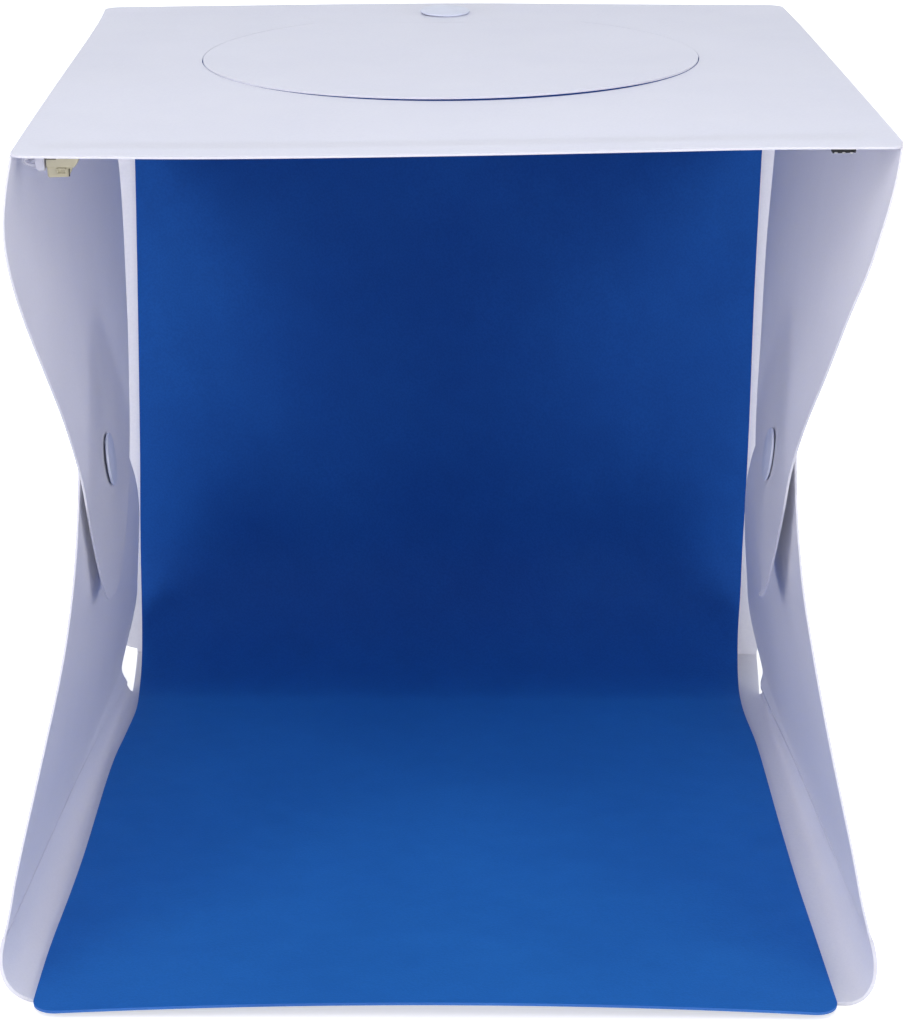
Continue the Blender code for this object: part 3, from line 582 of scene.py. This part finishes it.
def back_sheet(rows=100, columns=60):
    """Flat and upright. Its edges go from the neck to the full width over a round corner."""
    low, high = sheet + 0.0001, top_under - 0.0001
    z = low + (high - low) * np.linspace(0, 1, rows) ** 1.6
    corner_low, corner_size = 0.0026, 0.0035
    turn = np.clip((z - corner_low) / corner_size, 0, 1)
    corner = np.sqrt(np.maximum(0.0, 1 - (1 - turn) ** 2))
    left, right = neck_left + (top_width / 2 - neck_left) * corner, neck_right + (top_width / 2 - neck_right) * corner
    place = np.linspace(1, 0, columns)[None]
    x = right[:, None] * place - left[:, None] * (1 - place)
    y = np.full_like(x, back_face - sheet / 2)
    points = settle(np.stack((x, y, np.repeat(z[:, None], columns, 1)), -1))
    return shell("back_sheet", points, sheet, (white, cut_edge), "back", ("back_panel",))


# Blue backdrop

backdrop_thick = 0.0008
backdrop_half = 0.107
backdrop_front = front_face - 0.0290
backdrop_plane = back_face - sheet - 0.0003 - backdrop_thick / 2
floor_z = sheet + 0.0003 + backdrop_thick / 2
backdrop_corner = 0.007
sweep = 0.045
backdrop_top = top_under - 0.008
level_way = backdrop_plane - sweep - backdrop_front
bend_way = math.pi / 2 * sweep
backdrop_length = level_way + bend_way + backdrop_top - floor_z - sweep
tab_half = 0.018


def path_at(way):
    """Point (y, z) after a way along the sheet: level over the base, a quarter circle, then straight up."""
    turn = np.clip((way - level_way) / sweep, 0, math.pi / 2)
    y = backdrop_front + np.minimum(way, level_way) + sweep * np.sin(turn)
    z = floor_z + sweep * (1 - np.cos(turn)) + np.maximum(0, way - level_way - bend_way)
    return y, z


# How far the backdrop's edges stand off its plain width, as (share of its length, shift)
left_edge = ((0.0, -0.0037), (0.077, -0.0030), (0.156, -0.0012), (0.214, -0.0002), (0.321, 0.0007), (0.368, 0.0015),
             (0.415, 0.0033), (0.454, 0.0045), (0.493, 0.0040), (0.522, 0.0036), (0.604, 0.0019), (0.690, 0.0025),
             (0.806, 0.0032), (0.911, 0.0036), (1.0, 0.0035))
right_edge = ((0.0, -0.0006), (0.105, -0.0018), (0.176, -0.0026), (0.259, -0.0030), (0.392, -0.0033),
              (0.454, -0.0046), (0.497, -0.0044), (0.545, -0.0031), (0.591, -0.0014), (0.694, -0.0005),
              (0.808, -0.0006), (0.919, -0.0001), (1.0, 0.0004))


def lay_across(x, share):
    """The backdrop lies a little askew and is drawn in between the lips: a point shifts by the shifts of the
    left and the right edge, mixed by its place between them."""
    place = (x / backdrop_half + 1) / 2
    return x + through(left_edge, share) * (1 - place) + through(right_edge, share) * place


def backdrop_sheet(rows=260, columns=110):
    """The front corners are quarter circles, the front edge's middle is lifted by a parabola that fades
    towards the rear, and a faint wave runs through the sheet."""
    across = np.sin(math.pi / 2 * np.linspace(-1, 1, columns))
    x = backdrop_half * across
    past = np.maximum(0.0, np.abs(x) - backdrop_half + backdrop_corner)
    set_back = backdrop_corner - np.sqrt(np.maximum(0.0, backdrop_corner ** 2 - past ** 2))
    share = np.linspace(0, 1, rows) ** 1.25
    way = set_back[None] + (backdrop_length - set_back[None]) * share[:, None]
    y, z = path_at(way)
    x = lay_across(np.repeat(x[None], rows, 0), way / backdrop_length)
    lift, lift_reach, wave = 0.003, 0.085, 0.0007
    fade = np.clip(1 - (y - backdrop_front) / lift_reach, 0, 1)
    z = z + lift * fade ** 2 * (1 - (x / backdrop_half) ** 2)
    upright = smooth_step(0.05, 0.10, z) * (1 - smooth_step(0.19, 0.22, z))
    y = y - upright * wave * (1 + np.sin(30 * x + 18 * z))
    points = settle(np.stack((x, y, z), -1))
    item = shell("backdrop_sheet", points, backdrop_thick, (blue, blue_edge), None, ("backdrop",))
    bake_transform(item)
    return item


def tab_sheet(columns=24):
    """Up the back, round a small bend and forward under the top, with a round end."""
    middle_z = top_under - snap_gap - backdrop_thick / 2
    bend = 0.0025
    turn = np.linspace(0, math.pi / 2, 12)
    y = np.concatenate(([backdrop_plane] * 3, backdrop_plane - bend + bend * np.cos(turn[1:])))
    z = np.concatenate((np.linspace(backdrop_top, middle_z - bend, 3), middle_z - bend + bend * np.sin(turn[1:])))
    half = np.full(len(y), tab_half)
    end = np.linspace(0, math.pi / 2, 40)[1:]
    rounding = tab_half - 0.0031
    half = np.concatenate((half, tab_half - rounding + rounding * np.cos(end)))
    y = np.concatenate((y, backdrop_plane - bend - tab_half * np.sin(end)))
    z = np.concatenate((z, np.full(len(end), middle_z)))
    x = half[:, None] * np.linspace(1, -1, columns)[None]
    points = settle(np.stack((x, np.repeat(y[:, None], columns, 1), np.repeat(z[:, None], columns, 1)), -1))
    item = shell("backdrop_tab_sheet", points, backdrop_thick, (blue, blue_edge), None, ("backdrop_tab",))
    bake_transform(item)
    return item


# Snaps

def lathe(profile, spot, direction, steps=64):
    """Profile points (radius, height) carried round the axis that runs from the spot along a direction."""
    profile = np.array(profile, float)
    axis = np.array(direction, float) / np.linalg.norm(direction)
    side = np.cross(axis, (0.0, 1.0, 0.0)) if abs(axis[1]) < 0.9 else np.cross(axis, (1.0, 0.0, 0.0))
    side /= np.linalg.norm(side)
    other = np.cross(axis, side)
    angle = np.linspace(0, 2 * math.pi, steps, endpoint=False)
    ring = np.cos(angle)[:, None] * side + np.sin(angle)[:, None] * other
    points = spot + profile[:, None, :1] * ring[None] + profile[:, None, 1:] * axis
    return points.reshape(-1, 3), ring_quads(len(profile), steps)


def turned(name, profile, spot, direction, material, body, node):
    """A closed profile turned round its axis, with coincident points on the axis merged."""
    vertices, quads = lathe(profile, np.array(spot), direction)
    item = build(name, vertices, quads, (material,), body, (node,))
    weld(item)
    return item


def weld(item):
    """Merge coincident points and turn all faces outwards."""
    work = bmesh.new()
    work.from_mesh(item.data)
    bmesh.ops.remove_doubles(work, verts=work.verts, dist=1e-6)
    bmesh.ops.dissolve_degenerate(work, dist=1e-7, edges=work.edges)
    bmesh.ops.recalc_face_normals(work, faces=work.faces)
    work.to_mesh(item.data)
    work.free()
    item.data.shade_smooth()
    item.data.set_sharp_from_angle(angle=math.radians(40))


def arc(centre, radius, start, end, steps):
    """Points of a circle from one angle to another, in degrees."""
    angle = np.radians(np.linspace(start, end, steps))
    return [(centre[0] + radius * math.cos(a), centre[1] + radius * math.sin(a)) for a in angle]


def cap_profile(through_way, rise=0.0015):
    """Shallow dome with a rounded rim, a flat underside, the prong and its spread head."""
    dome = [(0.0080 * s, rise - (rise - 0.00092) * (s / 0.95) ** 2) for s in np.linspace(0, 0.95, 14)]
    rim = arc((0.0076, 0.00055), 0.00042, 60, -90, 9)
    prong = [(0.0072, 0.00045), (0.0030, 0.0006), (0.0011, 0.0006), (0.0011, -through_way),
             (0.0018, -through_way - 0.0002), (0.0018, -through_way - 0.0004), (0.0, -through_way - 0.0004)]
    return dome + rim + prong


def socket_profile():
    """Ring with a rounded outer edge round the cup that takes the stud."""
    lip = [(0.0036, 0.0016), (0.0039, 0.0017), (0.0058, 0.0017)]
    cup = [(0.0062, 0.0002), (0.0014, 0.0002), (0.0014, 0.0007), (0.0036, 0.0007), (0.0036, 0.0016)]
    return lip + arc((0.0058, 0.0013), 0.0004, 80, 0, 5) + cup


def stud_profile():
    """Base ring with a round post that has a lead-in at its top and a bore."""
    return [(0.0023, 0.0018), (0.0029, 0.0018), (0.0032, 0.0015), (0.0032, 0.0008), (0.0059, 0.0008),
            (0.0062, 0.0006), (0.0062, 0.0002), (0.0014, 0.0002), (0.0014, 0.0008), (0.0023, 0.0008),
            (0.0023, 0.0018)]


def snaps():
    """On each side a cap and socket on the upper flap, a stud and cap on the lower one, square to the sheets. At
    the top's rear the same four, upright."""
    for word, side in (("left", -1), ("right", 1)):
        out = np.array((side, waist_toe, 0.0))
        out /= np.linalg.norm(out)
        shift = float(lean(word + "_upper", 0.5, snap_height))
        middle = settle((side * float(upper_half(snap_y, snap_height)) + shift, snap_y, snap_height))
        face = middle + out * sheet / 2
        far = face + out * snap_gap
        tilted = -out + np.array((0.0, 0.03, snap_tilt + 0.02))
        turned(word + "_inner_cap_dome", cap_profile(0.0026), middle - out * 0.0003, tilted, snap_plastic,
               word + "_upper", word + "_inner_cap")
        turned(word + "_socket_ring", socket_profile(), face, out, snap_plastic, word + "_upper", word + "_socket")
        turned(word + "_stud_post", stud_profile(), far, -out, snap_plastic, word + "_lower", word + "_stud")
        turned(word + "_outer_cap_dome", cap_profile(0.0021), far + out * sheet, out, snap_plastic,
               word + "_lower", word + "_outer_cap")
    down = np.array((0.0, 0.0, -1.0))
    middle = settle((0.0, top_snap_y, height - sheet / 2))
    face = middle + down * sheet / 2
    far = face + down * snap_gap
    tilted = -down + np.array((0.0, -0.05, 0.0))
    turned("top_cap_dome", cap_profile(0.0022, 0.0012), middle - down * (sheet / 2 - 0.0001), tilted,
           snap_plastic, "top", "top_cap")
    turned("top_socket_ring", socket_profile(), face, down, snap_plastic, "top", "top_socket")
    turned("tab_stud_post", stud_profile(), far, -down, snap_plastic, "top", "tab_stud")
    turned("tab_cap_dome", cap_profile(0.0019), far + down * backdrop_thick, down, snap_plastic, "top", "tab_cap")


# LED strip, its socket, plug and leads. Both shifts are along x, as in the photograph.

strip_shift, socket_shift = -0.0011, -0.0017


def rounded_block(low, high, bevel, steps=3):
    """A box with round edges: a cube's grid of directions, each point moved to the nearest point of the inner
    box plus the bevel along its direction."""
    low, high = np.array(low, float), np.array(high, float)
    centre, inner = (low + high) / 2, (high - low) / 2 - bevel
    corner = np.linspace(-1, 1, 2 * steps)
    u, v = np.meshgrid(corner, corner, indexing="ij")
    one = np.ones_like(u)
    sides = [(one, u, v), (-one, v, u), (v, one, u), (u, -one, v), (u, v, one), (v, u, -one)]
    vertices, faces = [], []
    for side in sides:
        direction = np.stack(side, -1)
        sign = np.sign(direction)
        unit = direction / np.linalg.norm(direction, axis=-1, keepdims=True)
        points = centre + sign * inner + unit * bevel
        n = len(corner)
        index = np.arange(n * n).reshape(n, n) + len(vertices) * n * n
        faces.append(np.stack((index[:-1, :-1], index[1:, :-1], index[1:, 1:], index[:-1, 1:]), -1).reshape(-1, 4))
        vertices.append(points.reshape(-1, 3))
    return np.concatenate(vertices), np.concatenate(faces)


def slab(outline, low_y, high_y, bevel):
    """An outline of (x, z) points carried along y. At both ends it first shrinks by the bevel and then to its
    middle point."""
    outline = np.array(outline, float)
    middle = outline.mean(0)
    small = 1 - bevel / np.abs(outline - middle).max()
    steps = ((0.0, low_y), (small, low_y), (1.0, low_y + bevel),
             (1.0, high_y - bevel), (small, high_y), (0.0, high_y))
    share, y = np.array(steps).T
    flat = middle + (outline - middle)[None] * share[:, None, None]
    points = np.stack((flat[..., 0], np.repeat(y[:, None], len(outline), 1), flat[..., 1]), -1)
    return points.reshape(-1, 3), ring_quads(len(steps), len(outline))


def ring_quads(rows, columns):
    """Quads of a grid whose last column meets its first."""
    index = np.arange(rows * columns).reshape(rows, columns)
    index = np.concatenate((index, index[:, :1]), 1)
    return np.stack((index[:-1, :-1], index[:-1, 1:], index[1:, 1:], index[1:, :-1]), -1).reshape(-1, 4)


def joined(name, parts, material, body, nodes, shift=strip_shift):
    """Several closed forms as one piece, settled with the top and shifted along it."""
    starts = np.cumsum([0] + [len(vertices) for vertices, _ in parts])
    vertices = settle(np.concatenate([vertices for vertices, _ in parts])) + np.array((shift, 0.0, 0.0))
    faces = np.concatenate([quads + start for (_, quads), start in zip(parts, starts)])
    item = build(name, vertices, faces, (material,), body, nodes)
    weld(item)
    return item


def blocks(name, boxes, bevel, material, body, nodes, shift=strip_shift):
    """Rounded boxes as one piece."""
    return joined(name, [rounded_block(low, high, bevel) for low, high in boxes], material, body, nodes, shift)


def strip():
    """From the top down: tape, board, a row of LEDs with lens and pads, and resistors behind every fourth."""
    under = top_under - 0.0011
    blocks("led_tape_layer", [((strip_left, strip_y - 0.003, top_under - 0.0003),
                               (strip_right, strip_y + 0.003, top_under + 0.0002))],
           0.0001, tape_surface, "top", ("led_tape",))
    blocks("led_board_strip", [((strip_left, strip_y - 0.004, under),
                                (strip_right, strip_y + 0.004, top_under - 0.0004))],
           0.0001, board_surface, "top", ("led_board",))
    row, count = 0.180, 20
    xs = row * (np.arange(count) / (count - 1) - 0.5)
    y = strip_y - 0.001
    chips = [((x - 0.00175, y - 0.0014, under - 0.0006), (x + 0.00175, y + 0.0014, under)) for x in xs]
    blocks("led_packages", chips, 0.0001, package, "top", tuple(f"led_chip_{i + 1}" for i in range(count)))
    lenses = [((x - 0.0012, y - 0.0010, under - 0.00066), (x + 0.0012, y + 0.0010, under - 0.0005)) for x in xs]
    blocks("led_phosphors", lenses, 0.0001, phosphor, "top", ())
    pads = [((x + near - 0.0003, y - 0.0008, under - 0.0003), (x + near + 0.0005, y + 0.0008, under + 0.0001))
            for x in xs for near in (-0.0016, 0.0016)]
    blocks("led_pads", pads, 0.00008, tin, "top", ())
    xs = row / (count - 1) * 4 * (np.arange(5) - 2)
    middle = strip_y + 0.008 / 3
    low_y, high_y = middle - 0.0006, middle + 0.0006
    bodies = [((x - 0.0007, low_y, under - 0.0005), (x + 0.0007, high_y, under)) for x in xs]
    blocks("led_resistor_bodies", bodies, 0.00008, dark, "top", tuple(f"led_resistor_{i + 1}" for i in range(5)))
    ends = [((x + out - 0.00015, low_y, under - 0.0005), (x + out + 0.00015, high_y, under))
            for x in xs for out in (-0.00085, 0.00085)]
    blocks("led_resistor_ends", ends, 0.00006, tin, "top", ())
    driver(under)


def driver(under):
    """Dark body with slanted ends on a row of legs, at the strip's right end."""
    x, y = 0.0996, strip_y - 0.0014
    body = ((0.0963, under), (0.1029, under), (0.1028, under - 0.0016), (0.0969, under - 0.0018))
    joined("driver_body", [slab(body, y - 0.0018, y + 0.0018, 0.0003)], dark, "top", ("driver_chip",))
    legs = []
    for place in (-0.0020, 0.0, 0.0020):
        for side in (-1, 1):
            near, far = sorted((y + side * 0.0014, y + side * 0.0026))
            legs.append(((x + place - 0.0004, near, under - 0.0017), (x + place + 0.0004, far, under - 0.0013)))
    blocks("driver_legs", legs, 0.00012, tin, "top", ("driver_chip_legs",))


def power():
    """Cream housing in two slanted steps with a framed mouth, its pins, the plug and its leads. Its slot, a line under
    the top of the mouth's frame and the face beside the lower step's slant are thin dark blocks of painted shade.
    """
    shift = socket_shift
    y0, y1 = front_face + 0.0105, front_face + 0.0170
    high = top_under + 0.0002
    upper = ((-0.1032, high), (-0.0945, high), (-0.0946, 0.2274), (-0.0952, 0.2258), (-0.0959, 0.2248),
             (-0.1031, 0.2248))
    lower = ((-0.1030, 0.2252), (-0.0964, 0.2252), (-0.0965, 0.2243), (-0.0975, 0.2222), (-0.1025, 0.2220),
             (-0.1028, 0.2224))
    joined("socket_housing", [slab(upper, y0, y1, 0.0003), slab(lower, y0 + 0.0004, y1 - 0.0002, 0.0003)],
           cream, "top", ("power_socket",), shift)
    left, right, low, top = -0.1004, -0.0979, 0.2231, 0.2246
    bars = ((left, 0.22435, right, top), (left, low, right, 0.2233),
            (left, low, -0.1001, top), (-0.0982, low, right, top))
    frame_bars = [((x0, y0 - 0.0001, z0), (x1, y0 + 0.0008, z1)) for x0, z0, x1, z1 in bars]
    blocks("socket_mouth_frame", frame_bars, 0.00006, cream, "top", (), shift)
    # Painted shade as thin dark blocks: the slot along the housing's top, the shadow under the top bar of the mouth's
    # frame and the shaded slanted face of the lower step
    slots = [((-0.1031, y0 - 0.00003, 0.2269), (-0.1005, y0 + 0.0006, 0.22715)),
             ((-0.1001, y0 + 0.00035, 0.2243), (-0.0982, y0 + 0.0006, 0.22435)),
             ((-0.0974, y0 + 0.0002, 0.2224), (-0.0971, y0 + 0.0006, 0.2245))]
    blocks("socket_slot_shade", slots, 0.00003, slot_shade, "top", (), shift)
    pins = [((x, y1 - 0.0038, 0.2242), (x + 0.0006, y1 + 0.0001, 0.2248)) for x in (-0.1007, -0.0985)]
    blocks("socket_pins", pins, 0.0001, tin, "top", ("power_pin_1", "power_pin_2"), shift)
    middle = (y0 + y1) / 2
    plug_left = -0.1061
    plug = ((plug_left, high), (-0.1035, high), (-0.1034, 0.2240), (-0.1037, 0.2236), (-0.1050, 0.2236),
            (-0.1057, 0.2242), (plug_left, 0.2252))
    joined("plug_block", [slab(plug, middle - 0.0028, middle + 0.0028, 0.0006)], pale, "top", ("lead_plug",), shift)
    for number, (side, bulge, drop) in enumerate(((-1, 0.0027, 0.0), (1, 0.0019, 0.0009)), 1):
        turn = np.linspace(0, math.pi, 24)
        x = plug_left - bulge * np.sin(turn) ** 0.8
        z = 0.2251 - drop + 0.0011 * (1 - np.cos(turn))
        route = np.stack((x, middle + side * 0.0013 + 0 * x, z), -1)
        loop = tube(f"lead_loop_{number}", route, 0.00045, pale, "top", (f"led_lead_{number}",), shift)
        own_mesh(loop)


def tube(name, route, radius, material, body, nodes, shift, steps=16):
    """A round wire: at each point of the route a ring across the route's direction, with closed ends."""
    along = np.gradient(route, axis=0)
    along /= np.linalg.norm(along, axis=1, keepdims=True)
    route, along = (np.concatenate((rows[:1], rows, rows[-1:])) for rows in (route, along))
    side = np.array((0.0, 1.0, 0.0)) + 0 * along
    other = np.cross(along, side)
    size = np.full(len(route), radius)
    size[[0, -1]] = 0.0
    angle = np.linspace(0, 2 * math.pi, steps, endpoint=False)[None, :, None]
    ring = np.cos(angle) * side[:, None] + np.sin(angle) * other[:, None]
    points = route[:, None] + size[:, None, None] * ring
    return joined(name, [(points.reshape(-1, 3), ring_quads(len(route), steps))], material, body, nodes, shift)


# Stage, light and camera

def stage():
    """Pale floor. To the camera it also glows: half at the object, full from a little way off."""
    mesh = bpy.data.meshes.new("stage_floor")
    half, low = 6, -0.0002
    corners = [(-half, -half, low), (half, -half, low), (half, half, low), (-half, half, low)]
    mesh.from_pydata(corners, [], [(0, 1, 2, 3)])
    floor = bpy.data.objects.new("stage_floor", mesh)
    bpy.context.scene.collection.objects.link(floor)
    material = new_material("stage_floor", (0.90, 0.90, 0.90), 0.9, Emission_Color=(1.0, 1.0, 1.0, 1.0))
    tree = material.node_tree
    away = add_node(tree, "VectorMath", {0: add_node(tree, "TexCoord").outputs["Object"]}, operation="LENGTH")
    level = add_node(tree, "MapRange", {"From Min": 0.10, "From Max": 0.42, "To Min": 0.50, "To Max": 1.0,
                                        "Value": away.outputs["Value"]}, interpolation_type="SMOOTHSTEP")
    seen = add_node(tree, "LightPath").outputs["Is Camera Ray"]
    glow = add_node(tree, "Math", {0: seen, 1: level.outputs["Result"]}, operation="MULTIPLY")
    shader_input(material, "Emission Strength", glow.outputs[0])
    mesh.materials.append(material)


def world():
    """Light that grows from front to rear, and plain white where camera, gloss or glass see it."""
    world = bpy.data.worlds.new("studio")
    bpy.context.scene.world = world
    world.use_nodes = True
    tree = world.node_tree
    path = add_node(tree, "LightPath").outputs
    seen = add_node(tree, "Math", {0: path["Is Camera Ray"], 1: path["Is Glossy Ray"]}, operation="MAXIMUM")
    seen = add_node(tree, "Math", {0: seen.outputs[0], 1: path["Is Transmission Ray"]}, operation="MAXIMUM")
    way = add_node(tree, "SeparateXYZ", {0: add_node(tree, "TexCoord").outputs["Generated"]})
    place = add_node(tree, "MapRange", {"From Min": -0.15, "From Max": 0.35, "Value": way.outputs["Y"]})
    sky = add_node(tree, "Mix", {"A": (0.23, 0.23, 0.23, 1.0), "B": (0.76, 0.81, 0.93, 1.0),
                                 "Factor": place.outputs["Result"]}, data_type="RGBA")
    level = add_node(tree, "Mix", {"Factor": seen.outputs[0], "A": sky.outputs["Result"], "B": (1.0, 1.0, 1.0, 1.0)},
                     data_type="RGBA")
    shader = tree.nodes["Background"]
    tree.links.new(level.outputs["Result"], shader.inputs["Color"])
    shader.inputs["Strength"].default_value = 1.0


def placed(name, data, side, up, ahead, spot):
    """Link a lamp or camera that looks ahead from a spot."""
    item = bpy.data.objects.new(name, data)
    bpy.context.scene.collection.objects.link(item)
    item.matrix_world = Matrix([[side[i], up[i], -ahead[i], spot[i]] for i in range(3)] + [[0, 0, 0, 1]])
    return item


def lamp(name, spot, aim, size, watts, colour=(1.0, 1.0, 1.0)):
    """A round soft lamp that points from its spot at its aim."""
    data = bpy.data.lights.new(name, "AREA")
    data.shape = "DISK"
    data.size = size
    data.energy = watts
    data.color = colour
    spot, aim = np.array(spot, float), np.array(aim, float)
    ahead = (aim - spot) / np.linalg.norm(aim - spot)
    side = np.cross(ahead, (0.0, 0.0, 1.0))
    side /= np.linalg.norm(side)
    placed(name, data, side, np.cross(side, ahead), ahead, spot)


def camera():
    """Placed by yaw, pitch and roll in degrees. The lens is set on the frame's longer side, its height."""
    yaw, pitch, roll = np.radians((0.60, 18.42, 0.47))
    ahead = np.array((math.sin(yaw) * math.cos(pitch), math.cos(yaw) * math.cos(pitch), -math.sin(pitch)))
    level = np.array((math.cos(yaw), -math.sin(yaw), 0.0))
    over = np.cross(level, ahead)
    side = math.cos(roll) * level + math.sin(roll) * over
    up = math.cos(roll) * over - math.sin(roll) * level
    spot = (-0.00633, -0.8409, 0.3738)
    data = bpy.data.cameras.new("photo_camera")
    data.sensor_width = 36.0
    data.lens = 101.67
    data.clip_start = 0.01
    bpy.context.scene.camera = placed("photo_camera", data, side, up, ahead, spot)


camera()
base_sheet()
back_sheet()
top_sheet()
lid_sheet()
for which in (-1, 1):
    upper_flap(which)
    lower_flap(which)
backdrop_sheet()
tab_sheet()
snaps()
strip()
power()
stage()
world()
lamp("key_above", (-0.10, -0.80, 1.20), (0.0, -0.05, 0.05), 1.0, 5.5, (0.91, 0.95, 1.06))
lamp("left_front", (-0.90, -0.75, 0.42), (0.0, 0.0, 0.12), 0.8, 5.1, (1.05, 1.0, 0.94))
lamp("right_front", (0.90, -0.75, 0.42), (0.0, 0.0, 0.12), 0.8, 4.6, (1.05, 1.0, 0.94))
lamp("fill_front", (0.0, -1.60, 0.60), (0.0, 0.0, 0.10), 0.9, 1.8)
bpy.context.scene.view_settings.view_transform = "Standard"
